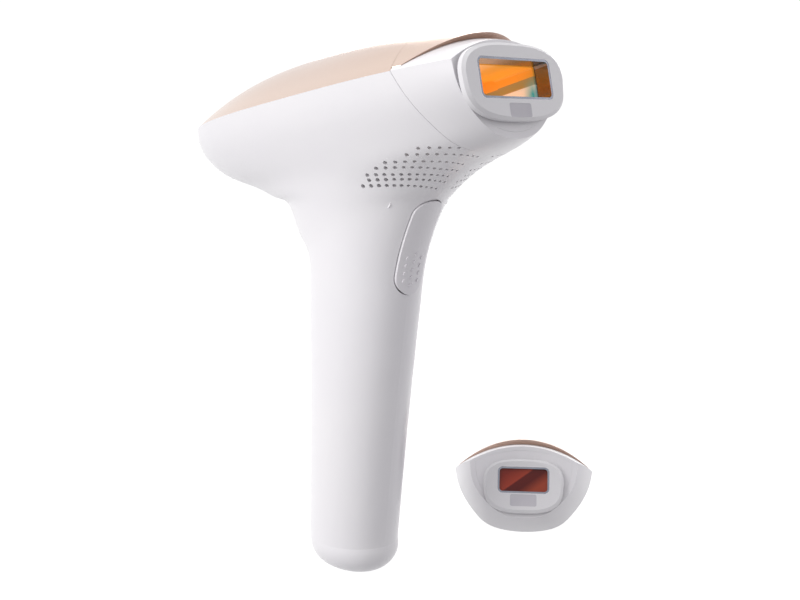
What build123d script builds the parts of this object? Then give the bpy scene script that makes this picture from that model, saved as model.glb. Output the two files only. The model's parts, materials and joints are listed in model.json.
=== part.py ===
from build123d import *
from collections import namedtuple
from math import cos, hypot, pi, radians, sin, sqrt
import os

# Hand-held flash hair remover, in millimetres. +X is the way the light leaves, +Z is up and Y = 0 is
# the plane of symmetry. The origin is the mouth of the power socket, at the foot of the handle.

# ---------------------------------------------------------------- driving dimensions
head_height = 187.8  # height of the seam plane above the socket, on the handle's line
head_tilt = 7.7  # degrees that the head's nose points up
wall = 2.2
gap = 0.35  # clearance round buttons and the pads

# The crest of the head, measured along the seam plane: u forward, n up from the seam.
crest_height = 18.6
crest_u = -4.0
tail_u = -96.0
nose_u = 104.0
tail_power = 2.8
nose_power = 3.1
head_half_width = 35.0

# Head sections below the seam: n, back u, front u, half width.
head_stations = [
    (0, -96, 104, 35.0),
    (-5, -97, 105, 34.4),
    (-10, -95.5, 104.5, 33.3),
    (-15, -91, 101, 31.6),
    (-20, -83.5, 95, 29.5),
    (-26, -67.5, 84.5, 26.8),
    (-33, -49, 60, 24.2),
    (-42, -36.5, 42, 21.9),
    (-54, -30.5, 32, 20.2),
]
# The handle, from the neck down to the foot, in level sections an even distance apart.
handle_top, handle_step = 122.0, 10.0
foot_tilt = 4.0  # degrees that the foot leans down to the front
foot_top = 12.0  # height of the solid foot
foot_radius = 10.0
foot_steps = (24, 42, 60, 74, 84, 90)  # degrees round the foot's rounded edge

# The joint between the housing and an attachment leans back towards the crest.
joint_u = 58.6
joint_lean = 25.2

# Attachments: u of the nose's front, and the sizes and heights of the pad, window and sensor.
size_names = "shoulder pad_width pad_height pad_n width height window_up sensor_drop sensor"
Size = namedtuple("Size", size_names)
body_size = Size(82.4, 49.3, 26.5, -7.2, 33.1, 12.4, 1.0, 10.8, (10.5, 4.8))
precision_size = Size(85.6, 35.5, 23.7, -11.0, 20.8, 10.0, 2.4, 8.9, (11.4, 5.2))
joint_gap = 0.15
pad_tilt = 5.0  # degrees that the pad faces up from the head's line
pad_proud = 4.0
pad_thick = 2.8
pad_power = 2.8
window_corner = 2.2
sensor_corner = 0.8
frame_wall = 0.8
duct_wall = 0.8
frame_depth = 6.0
skirt_end = 6.5
skirt_width, skirt_height, skirt_corner = 6.0, 3.0, 5.0  # wider and taller than the window
duct_start = 7.2
post_start = 13.2
spring_room = 0.2
visor_u, visor_lean = 60.0, -54.6
under_share = 0.8  # height of the white cap under the visor, as a share of the crest
cap_wall = 1.8
nose_ribs = (38, 48, 58, 68, 78, 86, 90)  # u of the sections of the nose's upper side
bezel_thick = 1.5

# The precision attachment stands free, turned towards the viewer of the nose.
spare_place = (18.0, 80.0, -0.6)
spare_turn, spare_pitch = -47.0, 23.7

# Trigger, on the front of the neck.
trigger_x, trigger_z = 38.2, 133.2
trigger_lean = 21.0
trigger_width, trigger_length = 13.0, 38.5
trigger_proud = 0.9
trigger_depth = 6.0
pin_up, pin_in, pin_radius = 15.2, 8.5, 1.0
plunger_up = -9.0
spring_up = 3.0

# Power button and level lights, on the back of the handle.
button_z, button_radius = 103.2, 5.5
light_pitch, light_count, light_radius = 5.0, 5, 0.9
light_z = 111.7
control_z, control_height = 115.2, 36.0

# Air vents, in rows round the underside of the head.
vent_top, vent_pitch, vent_slant = -25.0, 1.78, 0.33  # top level n, steps down by row and column
vent_starts = (3, 2, 1, 0, 0, 0, 0)  # first column of each row
vent_angle, vent_step, vent_count = 116.0, 4.9, 12
vent_radii = (0.85, 0.75, 0.62, 0.5)  # in bands, from the sides to the front

boss_places = ((-62, 21.6), (-8, 28.8), (40, 27.0))  # u and sideways place of the chassis screws
chassis_top, chassis_thick = -0.8, 1.8

# Depths behind the pad's face, along the way of the light.
filter_start, filter_thick = 31.5, 1.5
sleeve_end = 33.5
lamp_box = (34.0, 51.5)
lamp_depth = 46.0
sink_box = (51.8, 60.0)
fan_u, fan_n, fan_size, fan_thick = 15.5, -12.0, 38.0, 9.0

socket_radius, socket_outer = 2.75, 4.6
socket_mouth, socket_depth, socket_length = 4.5, 10.0, 12.0
center_pin_radius, center_pin_start = 0.9, 5.0

seam = radians(head_tilt)
head = Plane(
    origin=(0, 0, head_height),
    x_dir=(cos(seam), 0, sin(seam)),
    z_dir=(-sin(seam), 0, cos(seam)),
)
turn = radians(spare_turn)
pitch = radians(spare_pitch)
spare_x = Vector(cos(turn) * cos(pitch), sin(turn) * cos(pitch), sin(pitch))
spare_z = Vector(-cos(turn) * sin(pitch), -sin(turn) * sin(pitch), cos(pitch))
spare_heel = (73.0, 0.0, -30.2)  # the lowest point of the joint's edge, in the head's own axes
spare = Plane(
    origin=Vector(*spare_place) - spare_x * spare_heel[0] - spare_z * spare_heel[2],
    x_dir=spare_x,
    z_dir=spare_z,
)
foot = Plane(
    origin=(0, 0, 0),
    x_dir=(cos(radians(foot_tilt)), 0, -sin(radians(foot_tilt))),
    z_dir=(sin(radians(foot_tilt)), 0, cos(radians(foot_tilt))),
)


# ---------------------------------------------------------------- shapes and planes
def crest(u):
    """Height of the head's crest at u, from 1 at the top to 0 at the tips."""
    if u < crest_u:
        share = (crest_u - u) / (crest_u - tail_u)
        return max(0, 1 - share**tail_power)
    share = (u - crest_u) / (nose_u - crest_u)
    return max(0, 1 - share**nose_power)


def outline(back, front, half_width, roundness, steps=12):
    """Half of a level section, from its back tip to its front tip, on the +Y side."""
    points = []
    for step in range(steps + 1):
        angle = pi * step / steps
        share = (1 - cos(angle)) / 2
        egg = sqrt(crest(tail_u + share * (nose_u - tail_u)))
        width = half_width * ((1 - roundness) * egg + roundness * sin(angle))
        points.append((back + share * (front - back), width))
    return points


def facing(frame, u, n, lean):
    """A plane across the head that looks forward and leans up; x is sideways and y is up."""
    angle = radians(lean)
    return Plane(
        origin=frame.from_local_coords(Vector(u, 0, n)),
        x_dir=frame.y_dir,
        z_dir=frame.x_dir * cos(angle) + frame.z_dir * sin(angle),
    )


def joint_plane(frame):
    return facing(frame, joint_u, 0, joint_lean)


def pad_plane(frame, size):
    """The front face of an attachment's pad."""
    return facing(frame, size.shoulder + pad_proud, size.pad_n, pad_tilt)


def head_levels(frame, thickness):
    """Level sections of the head: plane, outer outline and inner outline at that wall."""
    levels = []
    for place, (n, back, front, half) in enumerate(head_stations):
        upper = head_stations[max(0, place - 1)]
        lower = head_stations[min(len(head_stations) - 1, place + 1)]
        rise = upper[0] - lower[0]
        behind, ahead, side = [
            thickness * hypot(1, (upper[axis] - lower[axis]) / rise) for axis in (1, 2, 3)
        ]
        roundness = min(1, -n / 50)
        outer = outline(back, front, half, roundness)
        inner = outline(back + behind, front - ahead, half - side, roundness)
        levels.append((frame.offset(n), outer, inner))
    return levels


def handle_size(z):
    """Back x, front x and half width of the handle at that height."""
    back = -22.0 + 0.0522 * z - 0.00023 * z**2
    front = 16.4 + 0.1014 * z + 0.00028 * z**2
    half = 16.7 + 0.0245 * z
    return back, front, half


def handle_heights():
    count = round((handle_top - foot_top) / handle_step)
    return [handle_top - handle_step * level for level in range(count + 1)]


def handle_levels(thickness):
    """Level sections of the handle, down to the top of the foot."""
    levels = []
    for z in handle_heights():
        back, front, half = handle_size(z)
        outer = outline(back, front, half, 1)
        inner = outline(back + thickness, front - thickness, half - thickness, 1)
        levels.append((Plane.XY.offset(z), outer, inner))
    return levels


def foot_levels():
    """Sections of the solid foot, drawn in round its lower edge."""
    levels = [(Plane.XY.offset(foot_top), outline(*handle_size(foot_top), 1))]
    for step in foot_steps:
        angle = radians(step)
        drawn_in = foot_radius * (1 - cos(angle))
        height = foot_radius * (1 - sin(angle))
        back, front, half = handle_size(height)
        points = outline(back + drawn_in, front - drawn_in, half - drawn_in, 1)
        levels.append((foot.offset(height), points))
    return levels


def on_side(points, side):
    return [(x, y * side) for x, y in points]


def arch(u, share, thickness, points=9):
    """Cross section of a cap that follows the crest at that share of its height."""
    half = head_half_width * sqrt(crest(u))
    tall = crest_height * crest(u) * share
    upper = []
    lower = []
    for step in range(points):
        across = 2 * step / (points - 1) - 1
        upper.append((across * half, tall * (1 - across**2)))
        lower.append((across * (half - thickness * 1.3), (tall - thickness) * (1 - across**2)))
    return upper, lower[::-1]


def trigger_plane():
    """On the front of the neck, facing out: x is sideways and y is up the slope."""
    lean = radians(trigger_lean)
    return Plane(
        origin=(trigger_x, 0, trigger_z), x_dir=(0, 1, 0), z_dir=(cos(lean), 0, -sin(lean))
    )


def back_plane(z):
    """Across the back of the handle at that height, facing out."""
    return Plane(origin=(-12, 0, z), x_dir=(0, -1, 0), z_dir=(-1, 0, 0))


def pin_plane():
    """Across the trigger's pin, with z along it."""
    trigger = trigger_plane()
    origin = trigger.from_local_coords(Vector(0, pin_up, -pin_in))
    return Plane(origin=origin, x_dir=(1, 0, 0), z_dir=(0, 1, 0))


def skin(n, share):
    """A point of the head's +Y skin at level n, that share of the way to the front tip."""
    back, front, half = head_stations[-1][1:]
    for upper, lower in zip(head_stations, head_stations[1:]):
        if n >= lower[0]:
            mix = (upper[0] - n) / (upper[0] - lower[0])
            back, front, half = [a + mix * (b - a) for a, b in zip(upper[1:], lower[1:])]
            break
    roundness = min(1, -n / 50)
    egg = sqrt(crest(tail_u + share * (nose_u - tail_u)))
    width = half * ((1 - roundness) * egg + roundness * 2 * sqrt(share * (1 - share)))
    return Vector(back + share * (front - back), width, n)


def vents(side):
    """Planes square to the skin at each vent of that side, in bands of one radius."""
    bands = [[] for _ in vent_radii]
    for row, start in enumerate(vent_starts):
        for column in range(start, vent_count):
            n = vent_top - vent_pitch * row - vent_slant * column
            angle = radians(vent_angle + vent_step * (column + 0.5 * (row % 2)))
            share = (1 - cos(angle)) / 2
            point = skin(n, share)
            along = skin(n, share) - skin(n, share - 0.002)
            rising = skin(n + 0.2, share) - skin(n - 0.2, share)
            out = rising.cross(along)
            if out.Y < 0:
                out = out * -1
            origin = head.from_local_coords(Vector(point.X, point.Y * side, point.Z))
            normal = head.x_dir * out.X + head.y_dir * (out.Y * side) + head.z_dir * out.Z
            bands[column * len(bands) // vent_count].append(Plane(origin=origin, z_dir=normal))
    return zip(bands, vent_radii)


def coil(plane, radius, wire, height, turns):
    """A plain compression spring that stands on the plane."""
    with BuildPart() as spring:
        with BuildLine() as path:
            Helix(height / turns, height, radius, center=plane.origin, direction=plane.z_dir)
        start = path.line
        with BuildSketch(Plane(origin=start @ 0, z_dir=start % 0)):
            Circle(wire)
        sweep()
    return spring.part


# ---------------------------------------------------------------- housing
def skinned_side(side):
    """One half of the outer skin: hollow head and handle, and a solid foot."""
    with BuildPart() as tube:
        for plane, outer, inner in head_levels(head, wall) + handle_levels(wall):
            with BuildSketch(plane):
                with BuildLine():
                    skin_line = on_side(outer, side)
                    room_line = on_side(inner, side)
                    Spline(*skin_line)
                    Line(skin_line[-1], room_line[-1])
                    Spline(*room_line[::-1])
                    Line(room_line[0], skin_line[0])
                make_face()
        loft()
    with BuildPart() as sole:
        for plane, outer in foot_levels():
            with BuildSketch(plane):
                with BuildLine():
                    skin_line = on_side(outer, side)
                    Spline(*skin_line)
                    Line(skin_line[-1], skin_line[0])
                make_face()
        loft()
    return tube.part.fuse(sole.part, glue=True)


def housing_half(side):
    trigger = trigger_plane()
    with BuildPart() as half:
        add(skinned_side(side))
        split(bisect_by=joint_plane(head), keep=Keep.BOTTOM)
        # Screw bosses under the chassis, grown out of the side walls.
        with BuildSketch(head.offset(chassis_top - chassis_thick)):
            with Locations(*[(u, y * side) for u, y in boss_places]):
                Circle(3.2)
        extrude(amount=-9)
        with BuildSketch(head.offset(chassis_top - chassis_thick)):
            with Locations(*[(u, y * side) for u, y in boss_places]):
                Circle(1.25)
        extrude(amount=-8, mode=Mode.SUBTRACT)
        # Bearing for the end of the trigger's pin.
        with BuildSketch(pin_plane().offset(7.2 * side)):
            Circle(2.4)
        extrude(amount=7.0 * side)
        with BuildSketch(pin_plane().offset(7.0 * side)):
            Circle(pin_radius + 0.01)
        extrude(amount=4.0 * side, mode=Mode.SUBTRACT)
        # Openings: trigger, power button, level lights, socket and vents.
        with BuildSketch(trigger.offset(-5.5)):
            SlotOverall(trigger_length + 1.0, trigger_width + 2 * gap, rotation=90)
        extrude(amount=12, mode=Mode.SUBTRACT)
        with BuildSketch(back_plane(button_z)):
            Circle(button_radius + gap)
        extrude(amount=20, mode=Mode.SUBTRACT)
        with BuildSketch(back_plane(light_z)):
            with Locations(*[(0, light_pitch * light) for light in range(light_count)]):
                Circle(light_radius + 0.02)
        extrude(amount=26, mode=Mode.SUBTRACT)
        with BuildSketch(foot.offset(-2)):
            Circle(socket_outer + 0.02)
        extrude(amount=foot_top + 4, mode=Mode.SUBTRACT)
        for planes, radius in vents(side):
            with Locations(*planes):
                Cylinder(radius, 12, mode=Mode.SUBTRACT)
    return half.part


def gold_dome():
    """The whole gold cap, run on past the head's tips and below the seam."""
    with BuildPart() as dome:
        for u in (-110, -96, -84, -66, -44, -20, 4, 26, 44, 58, 70):
            power = tail_power if u < crest_u else nose_power
            reach = (crest_u - tail_u) if u < crest_u else (nose_u - crest_u)
            tall = crest_height * (1 - (abs(u - crest_u) / reach) ** power)
            across = [head_half_width * 1.15 * (step / 4 - 1) for step in range(9)]
            upper = [(y, tall - crest_height * (y / head_half_width) ** 2) for y in across]
            lower = [(y, n - wall) for y, n in upper[::-1]]
            with BuildSketch(facing(head, u, 0, 0)):
                with BuildLine():
                    Spline(*upper)
                    Line(upper[-1], lower[0])
                    Spline(*lower)
                    Line(lower[-1], upper[0])
                make_face()
        loft()
        split(bisect_by=head, keep=Keep.TOP)
        split(bisect_by=joint_plane(head), keep=Keep.BOTTOM)
    return dome.part


def gold_top_cover(dome):
    with BuildPart() as cover:
        add(dome)
        with BuildSketch(head):
            with Locations((-86, 0)):
                SlotOverall(7.04, 2.44, rotation=90)
        extrude(amount=20, mode=Mode.SUBTRACT)
    return cover.part


def ready_light_lens(dome):
    with BuildPart() as lens:
        add(dome)
        with BuildSketch(head):
            with Locations((-86, 0)):
                SlotOverall(7.0, 2.4, rotation=90)
        extrude(amount=20, mode=Mode.INTERSECT)
    return lens.part


def inner_chassis():
    """The flat frame between the halves that the screws hold, under the gold cover."""
    level = head_levels(head, wall + 1.2)[0][2]
    with BuildPart() as chassis:
        with BuildSketch(head.offset(chassis_top)):
            with BuildLine():
                Spline(*on_side(level, 1))
                Spline(*on_side(level, -1)[::-1])
            make_face()
            with Locations((80, 0)):
                Rectangle(60, 80, mode=Mode.SUBTRACT)
            with Locations((-100, 0)):
                Rectangle(36, 80, mode=Mode.SUBTRACT)
            with Locations((30, 0)):
                Rectangle(60, 44, mode=Mode.SUBTRACT)
            with Locations((-48, 0)):
                RectangleRounded(48, 26, 6, mode=Mode.SUBTRACT)
            with Locations(*[(u, y * side) for u, y in boss_places for side in (1, -1)]):
                Circle(1.4, mode=Mode.SUBTRACT)
        extrude(amount=-chassis_thick)
    return chassis.part


def chassis_screws():
    with BuildPart() as screws:
        for u, y in boss_places:
            for side in (1, -1):
                with BuildSketch(head.offset(chassis_top)):
                    with Locations((u, y * side)):
                        Circle(2.3)
                        RegularPolygon(1.0, 6, mode=Mode.SUBTRACT)
                extrude(amount=1.3)
                with BuildSketch(head.offset(chassis_top)):
                    with Locations((u, y * side)):
                        Circle(1.2)
                extrude(amount=-9)
    return screws.part


def handle_solid(extra):
    """The neck and handle as one solid, grown outwards by that much."""
    with BuildPart() as solid:
        levels = []
        for n, back, front, half in head_stations:
            levels.append((head.offset(n), back, front, half, min(1, -n / 50)))
        for z in handle_heights():
            levels.append((Plane.XY.offset(z), *handle_size(z), 1))
        for plane, back, front, half, roundness in levels:
            points = outline(back - extra, front + extra, half + extra, roundness)
            with BuildSketch(plane):
                with BuildLine():
                    Spline(*points)
                    Spline(*on_side(points, -1)[::-1])
                make_face()
        loft()
    return solid.part


# ---------------------------------------------------------------- controls
def trigger_button():
    trigger = trigger_plane()
    with BuildPart() as button:
        add(handle_solid(trigger_proud))
        with BuildSketch(trigger.offset(-trigger_depth)):
            SlotOverall(trigger_length, trigger_width, rotation=90)
        extrude(amount=12, mode=Mode.INTERSECT)
        with BuildSketch(pin_plane().offset(-5.5)):
            Circle(3.4)
        extrude(amount=11)
        with BuildSketch(pin_plane().offset(-8)):
            Circle(pin_radius + 0.06)
        extrude(amount=16, mode=Mode.SUBTRACT)
    return button.part


def grip_dots():
    """Raised dots that stand on the lower end of the trigger."""
    trigger = trigger_plane()
    with BuildPart() as dots:
        add(handle_solid(trigger_proud + 0.4))
        with BuildSketch(trigger.offset(-3)):
            for column in (-1, 0, 1):
                for row in range(4 if column else 5):
                    lift = -15.5 + 3.0 * row + (1.5 if column else 0)
                    with Locations((3.4 * column, lift)):
                        Circle(0.75)
        extrude(amount=12, mode=Mode.INTERSECT)
    return dots.part


def trigger_pivot_pin():
    with BuildPart() as pin:
        with BuildSketch(pin_plane().offset(-10.8)):
            Circle(pin_radius)
        extrude(amount=21.6)
        chamfer(pin.edges().group_by(Axis.Y)[0] + pin.edges().group_by(Axis.Y)[-1], 0.2)
    return pin.part


def trigger_spring():
    place = trigger_plane().offset(-13.9)
    origin = place.from_local_coords(Vector(0, spring_up, 0))
    seat = Plane(origin=origin, x_dir=place.x_dir, z_dir=place.z_dir)
    return coil(seat, 2.0, 0.25, 7.0, 5)


def trigger_switch_body():
    trigger = trigger_plane()
    with BuildPart() as body:
        with BuildSketch(trigger.offset(-9.5)):
            with Locations((0, plunger_up)):
                Rectangle(6.2, 10)
        extrude(amount=-5.5)
        with BuildSketch(trigger.offset(-9.5)):
            with Locations((0, plunger_up)):
                Circle(1.35)
        extrude(amount=-3.5, mode=Mode.SUBTRACT)
        with BuildSketch(trigger.offset(-14.3)):
            with Locations((0, plunger_up)):
                Rectangle(9, 24)
        extrude(amount=-1.2)
    return body.part


def trigger_switch_plunger():
    trigger = trigger_plane()
    with BuildPart() as plunger:
        with BuildSketch(trigger.offset(-11.6)):
            with Locations((0, plunger_up)):
                Circle(1.0)
        extrude(amount=5.4)
    return plunger.part


def power_button():
    with BuildPart() as button:
        add(handle_solid(0.7))
        with BuildSketch(back_plane(button_z).offset(2.6)):
            Circle(button_radius)
        extrude(amount=12, mode=Mode.INTERSECT)
        with BuildSketch(back_plane(button_z).offset(1.6)):
            Circle(1.4)
        extrude(amount=1.2)
    return button.part


def power_switch_body():
    with BuildPart() as body:
        with BuildSketch(back_plane(button_z)):
            Rectangle(6, 6)
        extrude(amount=-2.2)
        with BuildSketch(back_plane(button_z)):
            Circle(1.6)
        extrude(amount=0.7)
    return body.part


def level_light_guides():
    """Five clear rods that end flush with the back of the handle."""
    with BuildPart() as guides:
        add(handle_solid(0))
        with BuildSketch(back_plane(light_z)):
            with Locations(*[(0, light_pitch * light) for light in range(light_count)]):
                Circle(light_radius)
        extrude(amount=26, mode=Mode.INTERSECT)
    return guides.part


def control_board():
    with BuildPart() as board:
        with BuildSketch(back_plane(control_z).offset(-2.2)):
            Rectangle(12, control_height)
        extrude(amount=-1.2)
        with BuildSketch(back_plane(light_z).offset(-2.2)):
            with Locations(*[(0, light_pitch * light) for light in range(light_count)]):
                Rectangle(2.0, 1.6)
        extrude(amount=0.9)
    return board.part


# ---------------------------------------------------------------- power and electronics
def power_socket():
    with BuildPart() as socket:
        with BuildSketch(foot):
            Circle(socket_outer)
            Circle(center_pin_radius, mode=Mode.SUBTRACT)
        extrude(amount=socket_length)
        with BuildSketch(foot):
            Circle(socket_radius)
        extrude(amount=socket_mouth, mode=Mode.SUBTRACT)
        with BuildSketch(foot.offset(socket_mouth)):
            Circle(socket_radius + 0.3)
        extrude(amount=socket_depth - socket_mouth, mode=Mode.SUBTRACT)
    return socket.part


def socket_center_pin():
    with BuildPart() as pin:
        with BuildSketch(foot.offset(center_pin_start)):
            Circle(center_pin_radius)
        extrude(amount=10)
        chamfer(pin.edges().group_by(Axis.Z)[0], 0.3)
    return pin.part


board_y, board_thick = 9.0, 1.6


def main_circuit_board():
    with BuildPart() as board:
        with BuildSketch(Plane.XZ.offset(-board_y)):
            with Locations((1, 60)):
                Rectangle(20, 72)
            with Locations((-7, 27), (9, 27), (-7, 93), (9, 93)):
                Circle(1.1, mode=Mode.SUBTRACT)
        extrude(amount=-board_thick)
    return board.part


def board_chips():
    with BuildPart() as chips:
        for x, z, width, height, depth in (
            (-3, 90, 9, 9, 1.4),
            (6, 91, 4, 5, 1.1),
            (0, 78, 6, 4, 1.4),
            (0, 30, 7, 5, 2.0),
            (6.5, 44, 3, 8, 1.6),
            (-5.5, 55, 3, 6, 1.6),
        ):
            with BuildSketch(Plane.XZ.offset(-board_y)):
                with Locations((x, z)):
                    Rectangle(width, height)
            extrude(amount=depth)
    return chips.part


def flash_capacitor():
    with BuildPart() as capacitor:
        with BuildSketch(Plane.XY.offset(26)):
            with Locations((1, -3.4)):
                Circle(9.2)
        extrude(amount=42)
        fillet(capacitor.edges().filter_by(GeomType.CIRCLE), 1.2)
    return capacitor.part


def transformer_core():
    with BuildPart() as core:
        with BuildSketch(Plane.XZ.offset(6)):
            with Locations((1, 78)):
                Rectangle(16, 15)
                with Locations((-4.6, 0), (4.6, 0)):
                    Rectangle(3.6, 10, mode=Mode.SUBTRACT)
        extrude(amount=-7)
    return core.part


def transformer_winding():
    with BuildPart() as winding:
        with BuildSketch(Plane.XY.offset(73.4)):
            with Locations((1, -2.5)):
                RectangleRounded(12.4, 12.0, 2.0)
                Rectangle(5.7, 7.2, mode=Mode.SUBTRACT)
        extrude(amount=9.2)
    return winding.part


def trigger_coil():
    with BuildPart() as coil_block:
        with BuildSketch(Plane.XY.offset(89)):
            with Locations((2, -3)):
                RectangleRounded(10, 8, 1.5)
        extrude(amount=13)
    return coil_block.part


# ---------------------------------------------------------------- fan and lamp
def fan_plane():
    return facing(head, fan_u, fan_n, pad_tilt)


def fan_frame():
    front = fan_plane()
    with BuildPart() as frame:
        with BuildSketch(front.offset(-fan_thick / 2)):
            RectangleRounded(fan_size, fan_size, 4)
            Circle(17.2, mode=Mode.SUBTRACT)
            with GridLocations(fan_size - 6, fan_size - 6, 2, 2):
                Circle(1.4, mode=Mode.SUBTRACT)
        extrude(amount=fan_thick)
        with BuildSketch(front.offset(-fan_thick / 2)):
            Circle(7)
            with PolarLocations(12, 4, start_angle=45):
                Rectangle(12, 1.8)
        extrude(amount=1.2)
        with BuildSketch(front.offset(-fan_thick / 2)):
            Circle(1.0)
        extrude(amount=6)
    return frame.part


def fan_rotor():
    front = fan_plane()
    with BuildPart() as rotor:
        with BuildSketch(front.offset(-fan_thick / 2 + 1.6)):
            Circle(7.2)
        extrude(amount=6.4)
        with BuildSketch(front.offset(-fan_thick / 2 + 1.4)):
            Circle(1.06)
        extrude(amount=4.9, mode=Mode.SUBTRACT)
        for blade in range(7):
            swing = radians(360 / 7 * blade)
            out = front.x_dir * cos(swing) + front.y_dir * sin(swing)
            root = Plane(origin=front.origin + front.z_dir * 0.3, x_dir=front.z_dir, z_dir=out)
            with BuildSketch(root.offset(6.4)):
                Rectangle(7.4, 0.9, rotation=38)
            with BuildSketch(root.offset(16.4)):
                Rectangle(7.8, 0.7, rotation=52)
            loft()
    return rotor.part


def window_plane(frame, size):
    """The pad's face, with its origin at the middle of the window."""
    pad = pad_plane(frame, size)
    origin = pad.from_local_coords(Vector(0, size.window_up, 0))
    return Plane(origin=origin, x_dir=pad.x_dir, z_dir=pad.z_dir)


def lamp_section():
    """Across the lamp: x points the way of the light and y points up."""
    window = window_plane(head, body_size)
    return Plane(origin=window.origin, x_dir=window.z_dir, z_dir=window.x_dir * -1)


def lamp_carrier():
    window = window_plane(head, body_size)
    near, far = lamp_box
    with BuildPart() as carrier:
        with BuildSketch(window.offset(-near)):
            RectangleRounded(41, 20, 1.5)
        extrude(amount=near - far)
        with BuildSketch(window.offset(-near)):
            Rectangle(37, 16)
        extrude(amount=near - far + 1.8, mode=Mode.SUBTRACT)
        with BuildSketch(lamp_section().offset(-30)):
            with Locations((-lamp_depth, 0)):
                Circle(2.5)
        extrude(amount=60, mode=Mode.SUBTRACT)
    return carrier.part


def lamp_reflector():
    with BuildPart() as reflector:
        with BuildSketch(lamp_section().offset(-16)):
            with Locations((-lamp_box[0] - 0.4, 0)):
                Ellipse(14.6, 7.2)
                Ellipse(14.1, 6.7, mode=Mode.SUBTRACT)
                with Locations((10, 0)):
                    Rectangle(20, 20, mode=Mode.SUBTRACT)
        extrude(amount=32)
    return reflector.part


def flash_lamp_tube():
    with BuildPart() as tube:
        with BuildSketch(lamp_section().offset(-17.5)):
            with Locations((-lamp_depth, 0)):
                Circle(2.3)
                Circle(1.5, mode=Mode.SUBTRACT)
        extrude(amount=35)
    return tube.part


def lamp_electrodes():
    with BuildPart() as electrodes:
        for side in (1, -1):
            with BuildSketch(lamp_section().offset(17.5 * side)):
                with Locations((-lamp_depth, 0)):
                    Circle(2.1)
            extrude(amount=4.5 * side)
            with BuildSketch(lamp_section().offset(13.0 * side)):
                with Locations((-lamp_depth, 0)):
                    Circle(1.0)
            extrude(amount=4.5 * side)
    return electrodes.part


def heat_sink():
    window = window_plane(head, body_size)
    near, far = sink_box
    with BuildPart() as sink:
        with BuildSketch(window.offset(-near)):
            Rectangle(38, 19)
        extrude(amount=-2)
        with BuildSketch(window.offset(-near - 2)):
            with GridLocations(4.6, 1, 9, 1):
                Rectangle(1.1, 19)
        extrude(amount=near + 2 - far)
    return sink.part


def uv_filter_glass():
    window = window_plane(head, body_size)
    with BuildPart() as glass:
        with BuildSketch(window.offset(-filter_start)):
            Rectangle(body_size.width + 2, body_size.height + 2)
        extrude(amount=-filter_thick)
    return glass.part


def light_exit_sleeve():
    window = window_plane(head, body_size)
    with BuildPart() as sleeve:
        with BuildSketch(window.offset(-14)):
            RectangleRounded(body_size.width + 4.4, body_size.height + 4.4, 1.2)
            Rectangle(body_size.width + 2, body_size.height + 2, mode=Mode.SUBTRACT)
        extrude(amount=14 - sleeve_end)
        split(bisect_by=joint_plane(head).offset(-0.3), keep=Keep.BOTTOM)
    return sleeve.part


def nose_core(frame, near, far, clearance):
    """A slice of the space inside the nose, between two planes, clear of the shell by that much."""
    with BuildPart() as lower:
        for plane, _, inner in head_levels(frame, wall + clearance)[:8]:
            with BuildSketch(plane):
                with BuildLine():
                    Spline(*inner)
                    Spline(*on_side(inner, -1)[::-1])
                make_face()
        loft()
        split(bisect_by=far, keep=Keep.BOTTOM)
        split(bisect_by=near, keep=Keep.TOP)
    with BuildPart() as upper:
        for u in nose_ribs:
            _, under = arch(u, under_share, cap_wall + clearance)
            with BuildSketch(facing(frame, u, 0, 0)):
                with BuildLine():
                    Spline(*under)
                    Line(under[-1], under[0])
                make_face()
        loft()
        split(bisect_by=far, keep=Keep.BOTTOM)
        split(bisect_by=near, keep=Keep.TOP)
    return lower.part + upper.part


contact_row = [(x, -15.5) for x in (-8, -4, 0, 4, 8)]


def contact_plane(frame, offset):
    """Along the joint, with its origin behind the window."""
    joint = joint_plane(frame)
    window = window_plane(frame, body_size)
    reach = (joint.origin - window.origin).dot(joint.z_dir) / window.z_dir.dot(joint.z_dir)
    origin = window.origin + window.z_dir * reach + joint.z_dir * offset
    return Plane(origin=origin, x_dir=joint.x_dir, z_dir=joint.z_dir)


def front_bulkhead():
    window = window_plane(head, body_size)
    with BuildPart() as bulkhead:
        joint = joint_plane(head)
        add(nose_core(head, joint.offset(-2.3), joint.offset(-0.3), 0.5))
        with BuildSketch(window):
            RectangleRounded(body_size.width + 4.5, body_size.height + 4.5, 1.2)
        extrude(amount=-60, mode=Mode.SUBTRACT)
        with BuildSketch(contact_plane(head, -4)):
            with Locations(*contact_row):
                Circle(0.92)
        extrude(amount=8, mode=Mode.SUBTRACT)
    return bulkhead.part


def contact_pins():
    with BuildPart() as pins:
        with BuildSketch(contact_plane(head, -5)):
            with Locations(*contact_row):
                Circle(0.9)
        extrude(amount=4.9)
    return pins.part


# ---------------------------------------------------------------- attachments
def attachment_shell(frame, size):
    with BuildPart() as shell:
        for side in (1, -1):
            for plane, outer, inner in head_levels(frame, wall)[:8]:
                with BuildSketch(plane):
                    with BuildLine():
                        skin_line = on_side(outer, side)
                        room_line = on_side(inner, side)
                        Spline(*skin_line)
                        Line(skin_line[-1], room_line[-1])
                        Spline(*room_line[::-1])
                        Line(room_line[0], skin_line[0])
                    make_face()
            loft()
        split(bisect_by=joint_plane(frame).offset(joint_gap), keep=Keep.TOP)
        split(bisect_by=pad_plane(frame, size).offset(-pad_proud), keep=Keep.BOTTOM)
    with BuildPart() as cap:
        for u in nose_ribs:
            over, under = arch(u, under_share, cap_wall)
            with BuildSketch(facing(frame, u, 0, 0)):
                with BuildLine():
                    Spline(*over)
                    Line(over[-1], under[0])
                    Spline(*under)
                    Line(under[-1], over[0])
                make_face()
        loft()
        split(bisect_by=joint_plane(frame).offset(joint_gap), keep=Keep.TOP)
        split(bisect_by=pad_plane(frame, size).offset(-pad_proud), keep=Keep.BOTTOM)
    return shell.part + cap.part


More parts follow.
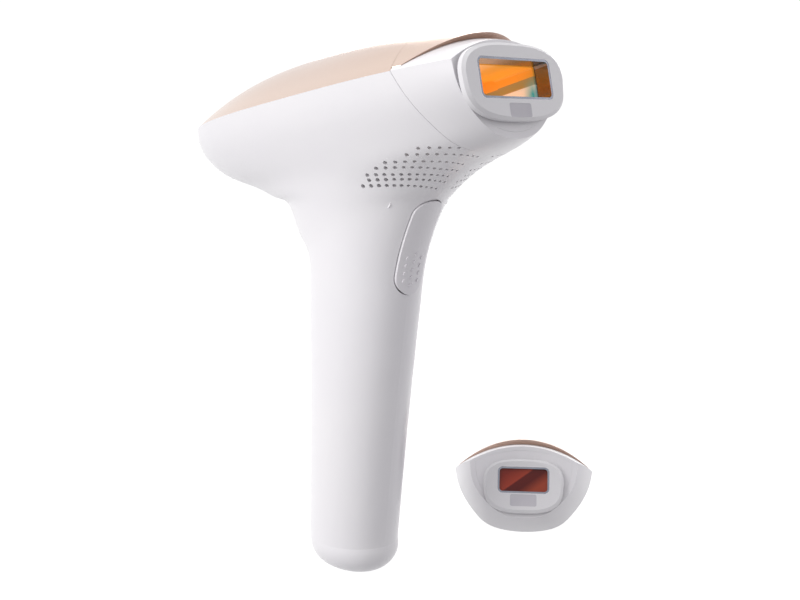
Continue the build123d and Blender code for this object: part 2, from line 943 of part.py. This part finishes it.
def nose_bezel(frame, size):
    """The flat front wall that closes the nose round the pad's skirt."""
    front = pad_plane(frame, size).offset(-pad_proud)
    window = window_plane(frame, size)
    with BuildPart() as bezel:
        add(nose_core(frame, front.offset(-bezel_thick), front, 0.05))
        with BuildSketch(window):
            width = size.width + skirt_width + 2 * gap
            RectangleRounded(width, size.height + skirt_height + 2 * gap, skirt_corner)
        extrude(amount=-20, mode=Mode.SUBTRACT)
    return bezel.part


def attachment_visor(frame):
    """The gold cap that carries the cover's line on over the attachment."""
    with BuildPart() as visor:
        for u in (40, 50, 60, 70, 78, 84):
            half = head_half_width * sqrt(crest(u))
            tall = crest_height * crest(u)
            across = [0.95 * (step / 4 - 1) for step in range(9)]
            over = [(half * share, tall * (1 - share**2)) for share in across]
            under = [(y, n * under_share + 0.08) for y, n in over[::-1]]
            with BuildSketch(facing(frame, u, 0, 0)):
                with BuildLine():
                    Spline(*over)
                    Line(over[-1], under[0])
                    Spline(*under)
                    Line(under[-1], over[0])
                make_face()
        loft()
        split(bisect_by=joint_plane(frame).offset(joint_gap), keep=Keep.TOP)
        split(bisect_by=facing(frame, visor_u, 0, visor_lean), keep=Keep.BOTTOM)
    return visor.part


def pad_outline(size, inset=0):
    """A rounded oval, a little narrower at its lower edge."""
    half_width, half_height = size.pad_width / 2 - inset, size.pad_height / 2 - inset
    points = []
    for step in range(24):
        angle = 2 * pi * step / 24
        across = abs(cos(angle)) ** (2 / pad_power) * (1 if cos(angle) > 0 else -1)
        up = abs(sin(angle)) ** (2 / pad_power) * (1 if sin(angle) > 0 else -1)
        points.append((half_width * across * (0.98 + 0.03 * up), half_height * up))
    return points


def contact_pad(frame, size):
    pad = pad_plane(frame, size)
    window = window_plane(frame, size)
    width, height = size.width, size.height
    with BuildPart() as part:
        with BuildSketch(pad.offset(-0.9)):
            with BuildLine():
                Spline(*pad_outline(size), periodic=True)
            make_face()
        extrude(amount=0.9 - pad_thick)
        with BuildSketch(pad.offset(-0.9)):
            with BuildLine():
                Spline(*pad_outline(size), periodic=True)
            make_face()
        with BuildSketch(pad):
            with BuildLine():
                Spline(*pad_outline(size, 1.1), periodic=True)
            make_face()
        loft()
        with BuildSketch(window.offset(-pad_thick)):
            RectangleRounded(width + skirt_width, height + skirt_height, skirt_corner)
        extrude(amount=pad_thick - skirt_end)
        with BuildSketch(window.offset(1)):
            RectangleRounded(width + 2 * frame_wall, height + 2 * frame_wall, window_corner)
        extrude(amount=-10, mode=Mode.SUBTRACT)
        with BuildSketch(window.offset(1)):
            with Locations((0, -size.sensor_drop)):
                RectangleRounded(*size.sensor, sensor_corner)
        extrude(amount=-10, mode=Mode.SUBTRACT)
    return part.part


def window_frame(frame, size):
    window = window_plane(frame, size)
    width, height = size.width, size.height
    with BuildPart() as rim:
        with BuildSketch(window.offset(-0.1)):
            RectangleRounded(width + 2 * frame_wall, height + 2 * frame_wall, window_corner)
            RectangleRounded(width, height, window_corner - frame_wall, mode=Mode.SUBTRACT)
        extrude(amount=0.1 - frame_depth)
    return rim.part


def sensor_window(frame, size):
    window = window_plane(frame, size)
    with BuildPart() as lens:
        with BuildSketch(window.offset(-0.05)):
            with Locations((0, -size.sensor_drop)):
                RectangleRounded(*size.sensor, sensor_corner)
        extrude(amount=-2.6)
    return lens.part


def light_duct(frame, size):
    window = window_plane(frame, size)
    width, height = size.width, size.height
    with BuildPart() as duct:
        with BuildSketch(window.offset(-duct_start)):
            RectangleRounded(width + 2 * duct_wall, height + 2 * duct_wall, 1.6)
            RectangleRounded(width, height, 0.8, mode=Mode.SUBTRACT)
        extrude(amount=-30)
        split(bisect_by=joint_plane(frame).offset(0.3), keep=Keep.TOP)
    return duct.part


def spring_places(size):
    reach = size.width / 2 + 2.05
    return [(-reach, 0), (reach, 0)]


def attachment_back_plate(frame, size):
    window = window_plane(frame, size)
    with BuildPart() as plate:
        joint = joint_plane(frame)
        add(nose_core(frame, joint.offset(0.3), joint.offset(2.1), 0.5))
        with BuildSketch(window):
            RectangleRounded(size.width + 2 * duct_wall, size.height + 2 * duct_wall, 1.6)
        extrude(amount=-60, mode=Mode.SUBTRACT)
        with BuildSketch(window.offset(-post_start)):
            with Locations(*spring_places(size)):
                Circle(1.1)
        extrude(amount=-30)
        split(bisect_by=joint_plane(frame).offset(0.3), keep=Keep.TOP)
        with BuildSketch(contact_plane(frame, 0.3)):
            with Locations((0, -15.5)):
                Rectangle(20, 2.6)
        extrude(amount=0.3, mode=Mode.SUBTRACT)
    return plate.part


def contact_strip(frame):
    with BuildPart() as strip:
        with BuildSketch(contact_plane(frame, 0.3)):
            with Locations((0, -15.5)):
                Rectangle(20, 2.6)
        extrude(amount=0.3)
    return strip.part


def pad_springs(frame, size):
    window = window_plane(frame, size).offset(spring_room - post_start)
    springs = []
    for place in spring_places(size):
        origin = window.from_local_coords(Vector(place[0], place[1], 0))
        seat = Plane(origin=origin, x_dir=window.x_dir, z_dir=window.z_dir)
        springs.append(coil(seat, 0.75, 0.18, post_start - skirt_end - 2 * spring_room, 6))
    return springs[0] + springs[1]


def precision_filter_glass():
    window = window_plane(spare, precision_size)
    with BuildPart() as glass:
        with BuildSketch(window.offset(-1.2)):
            RectangleRounded(precision_size.width, precision_size.height, window_corner - frame_wall)
        extrude(amount=-1.4)
    return glass.part


# ---------------------------------------------------------------- writing
def parts():
    dome = gold_dome()
    made = {
        "housing_left_half": housing_half(1),
        "housing_right_half": housing_half(-1),
        "gold_top_cover": gold_top_cover(dome),
        "ready_light_lens": ready_light_lens(dome),
        "inner_chassis": inner_chassis(),
        "chassis_screws": chassis_screws(),
        "trigger_button": trigger_button() + grip_dots(),
        "trigger_pivot_pin": trigger_pivot_pin(),
        "trigger_spring": trigger_spring(),
        "trigger_switch_body": trigger_switch_body(),
        "trigger_switch_plunger": trigger_switch_plunger(),
        "power_button": power_button(),
        "power_switch_body": power_switch_body(),
        "level_light_guides": level_light_guides(),
        "control_board": control_board(),
        "power_socket": power_socket(),
        "socket_center_pin": socket_center_pin(),
        "main_circuit_board": main_circuit_board(),
        "board_chips": board_chips(),
        "flash_capacitor": flash_capacitor(),
        "transformer_core": transformer_core(),
        "transformer_winding": transformer_winding(),
        "trigger_coil": trigger_coil(),
        "fan_frame": fan_frame(),
        "fan_rotor": fan_rotor(),
        "lamp_carrier": lamp_carrier(),
        "lamp_reflector": lamp_reflector(),
        "flash_lamp_tube": flash_lamp_tube(),
        "lamp_electrodes": lamp_electrodes(),
        "heat_sink": heat_sink(),
        "uv_filter_glass": uv_filter_glass(),
        "light_exit_sleeve": light_exit_sleeve(),
        "front_bulkhead": front_bulkhead(),
        "contact_pins": contact_pins(),
    }
    for name, frame, size in (("body", head, body_size), ("precision", spare, precision_size)):
        made[name + "_attachment_shell"] = attachment_shell(frame, size)
        made[name + "_nose_bezel"] = nose_bezel(frame, size)
        made[name + "_attachment_visor"] = attachment_visor(frame)
        made[name + "_attachment_back_plate"] = attachment_back_plate(frame, size)
        made[name + "_contact_strip"] = contact_strip(frame)
        made[name + "_contact_pad"] = contact_pad(frame, size)
        made[name + "_window_frame"] = window_frame(frame, size)
        made[name + "_sensor_window"] = sensor_window(frame, size)
        made[name + "_light_duct"] = light_duct(frame, size)
        made[name + "_pad_springs"] = pad_springs(frame, size)
    made["precision_filter_glass"] = precision_filter_glass()
    return made


os.makedirs("parts", exist_ok=True)
for name, part in parts().items():
    part.label = name
    export_step(part, f"parts/{name}.step")
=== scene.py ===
import json
import math

import bpy
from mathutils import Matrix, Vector


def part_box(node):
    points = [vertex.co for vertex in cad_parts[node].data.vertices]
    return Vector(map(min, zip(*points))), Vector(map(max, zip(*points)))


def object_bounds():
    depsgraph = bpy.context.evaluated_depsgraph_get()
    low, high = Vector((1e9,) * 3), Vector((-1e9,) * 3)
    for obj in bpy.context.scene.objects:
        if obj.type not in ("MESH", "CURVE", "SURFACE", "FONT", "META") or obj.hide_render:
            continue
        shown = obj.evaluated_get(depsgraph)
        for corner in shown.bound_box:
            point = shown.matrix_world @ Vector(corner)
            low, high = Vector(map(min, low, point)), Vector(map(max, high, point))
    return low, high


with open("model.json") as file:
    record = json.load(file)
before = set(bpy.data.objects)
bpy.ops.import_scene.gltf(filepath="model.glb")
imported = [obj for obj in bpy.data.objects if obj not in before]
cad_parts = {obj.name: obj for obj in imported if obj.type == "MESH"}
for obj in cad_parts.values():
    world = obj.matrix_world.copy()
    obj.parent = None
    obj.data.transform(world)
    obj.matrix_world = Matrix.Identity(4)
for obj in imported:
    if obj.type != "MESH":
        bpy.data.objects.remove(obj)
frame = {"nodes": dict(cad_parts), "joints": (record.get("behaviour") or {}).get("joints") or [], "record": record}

record = frame["record"]
nodes = frame["nodes"]
cad_low, cad_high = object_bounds()

# ---------------------------------------------------------------- sizes and places
millimetre = 0.001
frame_front, frame_depth = 0.1 * millimetre, 6.0 * millimetre  # of a window's metal frame
marks_pitch = 2.4 * millimetre  # of the tiny marks near the crest
marks_length, marks_width = 34 * millimetre, 10 * millimetre
painted_reflection_start, painted_reflection_end = 3 * millimetre, 17 * millimetre  # heights over which a painted reflection darkens the gold towards the crest
reflection_band_half = 6.7 * millimetre  # half the height over which the duct's painted reflection colours run
duct_painted_glow = 0.35  # painted glow that brightens the duct's walls, though they are no lamp
# depth and reach of the painted blue-green reflection patch in the duct
teal_reflection_depth, teal_reflection_reach = 8.5 * millimetre, 4.5 * millimetre
head_tilt = math.radians(7.7)  # of the seam under the top cover
head_up = Vector((-math.sin(head_tilt), 0, math.cos(head_tilt)))
joints = {joint["name"]: joint for joint in frame["joints"]}


def middle(node):
    low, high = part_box(node)
    return (low + high) / 2


class Window:
    """An attachment's window: its middle, and its directions out, across and up."""

    def __init__(self, name):
        self.out = -Vector(joints[name + "_pad_press"]["axis"]).normalized()
        self.across = Vector((0, 0, 1)).cross(self.out).normalized()
        self.up = self.out.cross(self.across)
        rim = middle(name + "_window_frame")
        self.middle = rim + self.out * (frame_front + frame_depth) / 2


body = Window("body")
precision = Window("precision")


# Lights: name, place, size, watts and colour.
studio_lights = [
    ("key", (-0.2, -1.15, 0.65), (0.9, 0.9), 13.5, (1.0, 0.995, 0.99)),
    ("overhead", (0.0, 0.0, 1.2), (1.2, 1.0), 3.6, (1.0, 1.0, 1.0)),
    ("rim", (0.5, 1.0, 0.3), (0.5, 1.0), 2.4, (0.97, 0.95, 1.0)),
    ("back_fill", (-0.8, 1.0, 0.6), (0.8, 0.8), 6.0, (1.0, 1.0, 1.0)),
]
world_color, world_strength = (0.95, 0.94, 0.97), 0.48
floor_radius, floor_glow = 3.0, 0.88
backdrop_radius, backdrop_glow = 4.0, 1.05
camera_place, camera_target = Vector((0.3635, -0.2925, 0.1733)), Vector((0.027, 0.0, 0.1122))
camera_lens, camera_sensor = 53.1, 36.0


# ---------------------------------------------------------------- shader helpers
def new_material(name, color, roughness, metallic=0.0):
    material = bpy.data.materials.new(name)
    material.use_nodes = True
    shader = material.node_tree.nodes["Principled BSDF"]
    shader.inputs["Base Color"].default_value = (*color, 1)
    shader.inputs["Roughness"].default_value = roughness
    shader.inputs["Metallic"].default_value = metallic
    material.diffuse_color = (*color, 1)
    return material, shader


def add_node(material, kind, **settings):
    made = material.node_tree.nodes.new(kind)
    for name, value in settings.items():
        setattr(made, name, value)
    return made


def join(material, source, target):
    material.node_tree.links.new(source, target)


def object_place(material):
    return add_node(material, "ShaderNodeTexCoord").outputs["Object"]


def noise(material, size, detail=3.0):
    """Smooth noise whose lumps are about that size, in metres."""
    texture = add_node(material, "ShaderNodeTexNoise")
    texture.inputs["Scale"].default_value = 1 / size
    texture.inputs["Detail"].default_value = detail
    join(material, object_place(material), texture.inputs["Vector"])
    return texture.outputs["Fac"]


def spread(material, factor, low, high, start=0.3, end=0.7):
    """The factor's middle stretch, spread from low to high."""
    limits = add_node(material, "ShaderNodeMapRange")
    limits.inputs["From Min"].default_value = start
    limits.inputs["From Max"].default_value = end
    limits.inputs["To Min"].default_value = low
    limits.inputs["To Max"].default_value = high
    join(material, factor, limits.inputs["Value"])
    return limits.outputs["Result"]


def ramp(material, factor, stops):
    """Colours along a factor: (place, colour) pairs."""
    made = add_node(material, "ShaderNodeValToRGB")
    elements = made.color_ramp.elements
    elements.remove(elements[1])
    elements[0].position = stops[0][0]
    elements[0].color = (*stops[0][1], 1)
    for place, color in stops[1:]:
        elements.new(place).color = (*color, 1)
    join(material, factor, made.inputs["Fac"])
    return made.outputs["Color"]


def blend_colors(material, factor, first, second):
    """A mix of two colours, each a triple or a socket."""
    made = add_node(material, "ShaderNodeMix", data_type="RGBA")
    join(material, factor, made.inputs["Factor"])
    for name, color in (("A", first), ("B", second)):
        socket = [s for s in made.inputs if s.name == name and s.type == "RGBA"][0]
        if isinstance(color, tuple):
            socket.default_value = (*color, 1)
        else:
            join(material, color, socket)
    return [s for s in made.outputs if s.type == "RGBA"][0]


def along(material, origin, direction):
    """How far a point lies from the origin along a direction, in metres."""
    offset = add_node(material, "ShaderNodeVectorMath", operation="SUBTRACT")
    offset.inputs[1].default_value = origin
    join(material, object_place(material), offset.inputs[0])
    dot = add_node(material, "ShaderNodeVectorMath", operation="DOT_PRODUCT")
    dot.inputs[1].default_value = direction
    join(material, offset.outputs["Vector"], dot.inputs[0])
    return dot.outputs["Value"]


def math_node(material, operation, first, second=None):
    made = add_node(material, "ShaderNodeMath", operation=operation)
    for socket, value in zip(made.inputs, (first, second)):
        if value is None:
            continue
        if isinstance(value, (int, float)):
            socket.default_value = value
        else:
            join(material, value, socket)
    return made.outputs["Value"]


def roughen(material, shader, size, low, high):
    join(material, spread(material, noise(material, size), low, high), shader.inputs["Roughness"])


def grain(material, shader, size, height):
    """A fine moulded or cast grain in the surface."""
    relief = add_node(material, "ShaderNodeBump")
    relief.inputs["Strength"].default_value = 1.0
    relief.inputs["Distance"].default_value = height
    join(material, noise(material, size, 2.0), relief.inputs["Height"])
    join(material, relief.outputs["Normal"], shader.inputs["Normal"])


def tint(material, shader, size, first, second):
    """A slow change between two near colours."""
    factor = spread(material, noise(material, size), 0, 1)
    join(material, blend_colors(material, factor, first, second), shader.inputs["Base Color"])


# ---------------------------------------------------------------- materials
def white_plastic(name, roughness, first, second, grain_height):
    material, shader = new_material(name, first, roughness)
    tint(material, shader, 45 * millimetre, first, second)
    roughen(material, shader, 6 * millimetre, roughness - 0.03, roughness + 0.04)
    grain(material, shader, 0.25 * millimetre, grain_height)
    shader.inputs["Coat Weight"].default_value = 0.18
    shader.inputs["Coat Roughness"].default_value = 0.22
    return material


def white_shell():
    return white_plastic("satin_white", 0.33, (0.80, 0.785, 0.80), (0.775, 0.76, 0.785), 2e-6)


def white_control():
    return white_plastic("soft_white", 0.42, (0.78, 0.765, 0.785), (0.76, 0.74, 0.77), 4e-6)


def pad_plastic():
    return white_plastic("pad_white", 0.45, (0.74, 0.73, 0.745), (0.72, 0.71, 0.73), 5e-6)


def crest_marks(material):
    """1 in a patch of tiny round marks near the top cover's crest, 0 elsewhere."""
    low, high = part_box("gold_top_cover")
    centre = low.lerp(high, 0.4)
    cells = add_node(material, "ShaderNodeTexVoronoi", voronoi_dimensions="2D")
    cells.inputs["Scale"].default_value = 1 / marks_pitch
    cells.inputs["Randomness"].default_value = 0.0
    join(material, object_place(material), cells.inputs["Vector"])
    marks = spread(material, cells.outputs["Distance"], 1, 0, 0.20, 0.28)
    for direction, reach in (((1, 0, 0), marks_length / 2), ((0, 1, 0), marks_width / 2)):
        origin = (centre.x, 0, 0)
        offset = math_node(material, "ABSOLUTE", along(material, origin, direction))
        inside = math_node(material, "LESS_THAN", offset, reach)
        marks = math_node(material, "MULTIPLY", marks, inside)
    return marks


def rose_gold():
    """Metallic lacquer, with a painted reflection: darker towards the crest and paler along the seam."""
    material, shader = new_material("rose_gold", (0.73, 0.56, 0.47), 0.3, 1.0)
    low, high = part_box("gold_top_cover")
    # painted reflection: the gold darkens with height towards the crest and is paler along the seam
    rise = along(material, (low.x, 0, low.z), head_up)
    height = spread(material, rise, 0, 1, painted_reflection_start, painted_reflection_end)
    gold_painted_reflection = blend_colors(material, height, (0.74, 0.57, 0.48), (0.58, 0.40, 0.32))
    color = blend_colors(material, crest_marks(material), gold_painted_reflection, (0.95, 0.88, 0.82))
    join(material, color, shader.inputs["Base Color"])
    roughen(material, shader, 3 * millimetre, 0.22, 0.26)
    shader.inputs["Coat Weight"].default_value = 0.3
    shader.inputs["Coat Roughness"].default_value = 0.12
    return material


def plain_plastic(name, first, second, roughness, size=4 * millimetre):
    material, shader = new_material(name, first, roughness)
    tint(material, shader, size, first, second)
    roughen(material, shader, size / 2, roughness - 0.06, roughness + 0.06)
    grain(material, shader, 0.2 * millimetre, 4e-6)
    return material


def bright_metal(name, first, second, roughness, stretch=(1, 1, 1)):
    """Plated or brushed metal, with fine lines along the direction that is stretched."""
    material, shader = new_material(name, first, roughness, 1.0)
    tint(material, shader, 3 * millimetre, first, second)
    brushed = add_node(material, "ShaderNodeTexNoise")
    brushed.inputs["Scale"].default_value = 1 / (0.3 * millimetre)
    lines = add_node(material, "ShaderNodeMapping")
    lines.inputs["Scale"].default_value = stretch
    join(material, object_place(material), lines.inputs["Vector"])
    join(material, lines.outputs["Vector"], brushed.inputs["Vector"])
    rough = spread(material, brushed.outputs["Fac"], roughness * 0.7, roughness * 1.5)
    join(material, rough, shader.inputs["Roughness"])
    return material


def tinted_glass(name, first, second, opacity):
    material, shader = new_material(name, first, 0.05)
    tint(material, shader, 8 * millimetre, first, second)
    roughen(material, shader, 2 * millimetre, 0.03, 0.08)
    shader.inputs["Transmission Weight"].default_value = 1 - opacity
    shader.inputs["IOR"].default_value = 1.5
    return material


def board():
    material, shader = new_material("solder_mask", (0.03, 0.2, 0.1), 0.35)
    cells = add_node(material, "ShaderNodeTexVoronoi", feature="DISTANCE_TO_EDGE")
    cells.inputs["Scale"].default_value = 1 / (3 * millimetre)
    join(material, object_place(material), cells.inputs["Vector"])
    tracks = spread(material, cells.outputs["Distance"], 0, 1, 0.03, 0.06)
    color = blend_colors(material, tracks, (0.10, 0.36, 0.18), (0.02, 0.17, 0.09))
    join(material, color, shader.inputs["Base Color"])
    roughen(material, shader, 2 * millimetre, 0.28, 0.42)
    return material


def duct(window, name):
    """Polished coated walls of a light duct, coloured partly by the coating's own tints and partly by painted
    reflection: warm above, cream below, and a painted blue-green reflection patch.
    """
    material, shader = new_material(name, (0.95, 0.85, 0.70), 0.12)
    up = along(material, window.middle, window.up)
    depth = along(material, window.middle, -window.out)
    height = spread(material, up, 0, 1, -reflection_band_half, reflection_band_half)
    # painted reflection bands by height across the window, over the coating's own tints
    painted_wall_reflections = ramp(
        material,
        height,
        [
            (0.0, (0.93, 0.80, 0.62)),
            (0.50, (0.90, 0.80, 0.66)),
            (0.53, (0.38, 0.27, 0.09)),
            (0.72, (0.33, 0.27, 0.11)),
            (0.75, (0.85, 0.36, 0.05)),
            (0.96, (0.90, 0.36, 0.04)),
        ],
    )
    # painted blue-green reflection patch at one depth, on the lower walls
    reach = math_node(material, "SUBTRACT", depth, teal_reflection_depth)
    painted_teal_reflection = spread(material, math_node(material, "ABSOLUTE", reach), 1, 0, 0, teal_reflection_reach)
    lower = spread(material, height, 1, 0, 0.3, 0.75)
    factor = math_node(material, "MULTIPLY", painted_teal_reflection, lower)
    color = blend_colors(material, factor, painted_wall_reflections, (0.01, 0.42, 0.45))
    join(material, color, shader.inputs["Base Color"])
    # painted glow: the walls emit their own colour, though they are no lamp
    join(material, color, shader.inputs["Emission Color"])
    shader.inputs["Emission Strength"].default_value = duct_painted_glow
    roughen(material, shader, 2 * millimetre, 0.09, 0.16)
    return material


def red_filter():
    """Dark red glass with a paler band across it, as a reflection would leave."""
    material, shader = new_material("red_filter", (0.5, 0.04, 0.02), 0.06)
    slant = (precision.up * 0.8 - precision.across * 0.6).normalized()
    place = along(material, precision.middle, slant)
    factor = spread(material, place, 0, 1, -6 * millimetre, 7 * millimetre)
    color = ramp(
        material,
        factor,
        [
            (0.0, (0.34, 0.05, 0.02)),
            (0.30, (0.11, 0.006, 0.004)),
            (0.56, (0.12, 0.006, 0.004)),
            (0.60, (0.38, 0.045, 0.02)),
            (1.0, (0.24, 0.02, 0.01)),
        ],
    )
    join(material, color, shader.inputs["Base Color"])
    roughen(material, shader, 3 * millimetre, 0.04, 0.08)
    shader.inputs["Specular IOR Level"].default_value = 0.25
    return material


# painted reflections and glow of the duct, shared by the duct, the amber filter and the exit sleeve
duct_reflection_paint = duct(body, "duct_painted_reflections")
finishes = {
    "white_shell": white_shell(),
    "white_control": white_control(),
    "pad_plastic": pad_plastic(),
    "rose_gold": rose_gold(),
    "clear_lens": tinted_glass("light_lens", (0.9, 0.9, 0.88), (0.85, 0.85, 0.83), 0.7),
    "black_frame": plain_plastic("moulded_black", (0.025, 0.025, 0.03), (0.04, 0.04, 0.045), 0.4),
    "steel": bright_metal("steel", (0.62, 0.62, 0.64), (0.55, 0.55, 0.57), 0.28, (1, 6, 1)),
    "chrome_trim": bright_metal("chrome_trim", (0.25, 0.26, 0.30), (0.21, 0.22, 0.26), 0.18),
    "mirror_duct": duct_reflection_paint,
    "spring_steel": bright_metal("spring_wire", (0.58, 0.59, 0.62), (0.5, 0.51, 0.54), 0.22),
    "board_green": board(),
    "chip_black": plain_plastic("chip_black", (0.02, 0.02, 0.023), (0.035, 0.035, 0.04), 0.5),
    "capacitor_sleeve": plain_plastic("sleeve", (0.02, 0.03, 0.09), (0.03, 0.04, 0.12), 0.3),
    "ferrite": plain_plastic("ferrite", (0.06, 0.06, 0.065), (0.09, 0.09, 0.095), 0.65),
    "winding_tape": plain_plastic("winding_tape", (0.62, 0.42, 0.05), (0.55, 0.36, 0.04), 0.35),
    "coil_potting": plain_plastic("coil_potting", (0.09, 0.02, 0.02), (0.12, 0.03, 0.03), 0.35),
    "contact_gold": bright_metal("contact_gold", (0.85, 0.62, 0.25), (0.8, 0.56, 0.2), 0.2),
    "lamp_ceramic": plain_plastic("lamp_ceramic", (0.75, 0.72, 0.64), (0.7, 0.67, 0.58), 0.55),
    "reflector_metal": bright_metal("reflector", (0.88, 0.88, 0.88), (0.83, 0.83, 0.83), 0.08),
    "lamp_glass": tinted_glass("lamp_glass", (0.93, 0.95, 0.98), (0.9, 0.93, 0.97), 0.15),
    "filter_amber": duct_reflection_paint,  # the filter gets the same painted reflections and glow as the walls round it
    "filter_red": red_filter(),
    "sink_aluminium": bright_metal("sink", (0.7, 0.71, 0.72), (0.64, 0.65, 0.66), 0.3, (1, 1, 5)),
    "sensor_lens": tinted_glass("sensor_lens", (0.66, 0.64, 0.68), (0.60, 0.58, 0.63), 0.9),
}

def finish_nodes():
    for part in record["subparts"]:
        mesh = nodes[part["node"]].data
        mesh.materials.clear()
        mesh.materials.append(finishes[part["material_slot"]])
    nodes["light_exit_sleeve"].data.materials[0] = duct_reflection_paint  # painted inside with the duct's reflections and glow


# ---------------------------------------------------------------- floor, light and camera
floor_low = min(0.0, cad_low.z)


def backdrop_material(name, diffuse, glow):
    material, shader = new_material(name, (diffuse,) * 3, 0.9)
    shader.inputs["Specular IOR Level"].default_value = 0.0
    shader.inputs["Emission Color"].default_value = (1, 1, 1, 1)
    shader.inputs["Emission Strength"].default_value = glow
    return material


def make_floor():
    bpy.ops.mesh.primitive_circle_add(vertices=96, radius=floor_radius, fill_type="NGON")
    floor = bpy.context.object
    floor.name = "studio_floor"
    floor.location = (0, 0, floor_low)
    floor.data.materials.append(backdrop_material("pale_floor", 0.35, floor_glow))
    floor.visible_diffuse = False


def make_backdrop():
    bpy.ops.mesh.primitive_uv_sphere_add(segments=48, ring_count=24, radius=backdrop_radius)
    backdrop = bpy.context.object
    backdrop.name = "studio_backdrop"
    backdrop.data.materials.append(backdrop_material("white_backdrop", 0.0, backdrop_glow))
    backdrop.visible_diffuse = False
    backdrop.visible_transmission = False
    backdrop.visible_shadow = False


def soft_light(name, place, size, power, color, target):
    data = bpy.data.lights.new(name, "AREA")
    data.shape = "RECTANGLE"
    data.size, data.size_y = size
    data.energy = power
    data.color = color
    light = bpy.data.objects.new(name, data)
    light.location = place
    light.rotation_euler = (target - Vector(place)).to_track_quat("-Z", "Y").to_euler()
    bpy.context.scene.collection.objects.link(light)


def make_lights():
    target = (cad_low + cad_high) / 2
    for settings in studio_lights:
        soft_light(*settings, target)
    world = bpy.data.worlds.new("studio")
    world.use_nodes = True
    background = world.node_tree.nodes["Background"]
    background.inputs["Color"].default_value = (*world_color, 1)
    background.inputs["Strength"].default_value = world_strength
    bpy.context.scene.world = world


def make_camera():
    data = bpy.data.cameras.new("camera")
    data.sensor_width = camera_sensor
    data.lens = camera_lens
    data.clip_start, data.clip_end = 0.01, 20.0
    camera = bpy.data.objects.new("camera", data)
    camera.location = camera_place
    aim = camera_target - camera_place
    camera.rotation_euler = aim.to_track_quat("-Z", "Y").to_euler()
    bpy.context.scene.collection.objects.link(camera)
    bpy.context.scene.camera = camera


finish_nodes()
make_floor()
make_backdrop()
make_lights()
make_camera()
bpy.context.scene.view_settings.view_transform = "Standard"
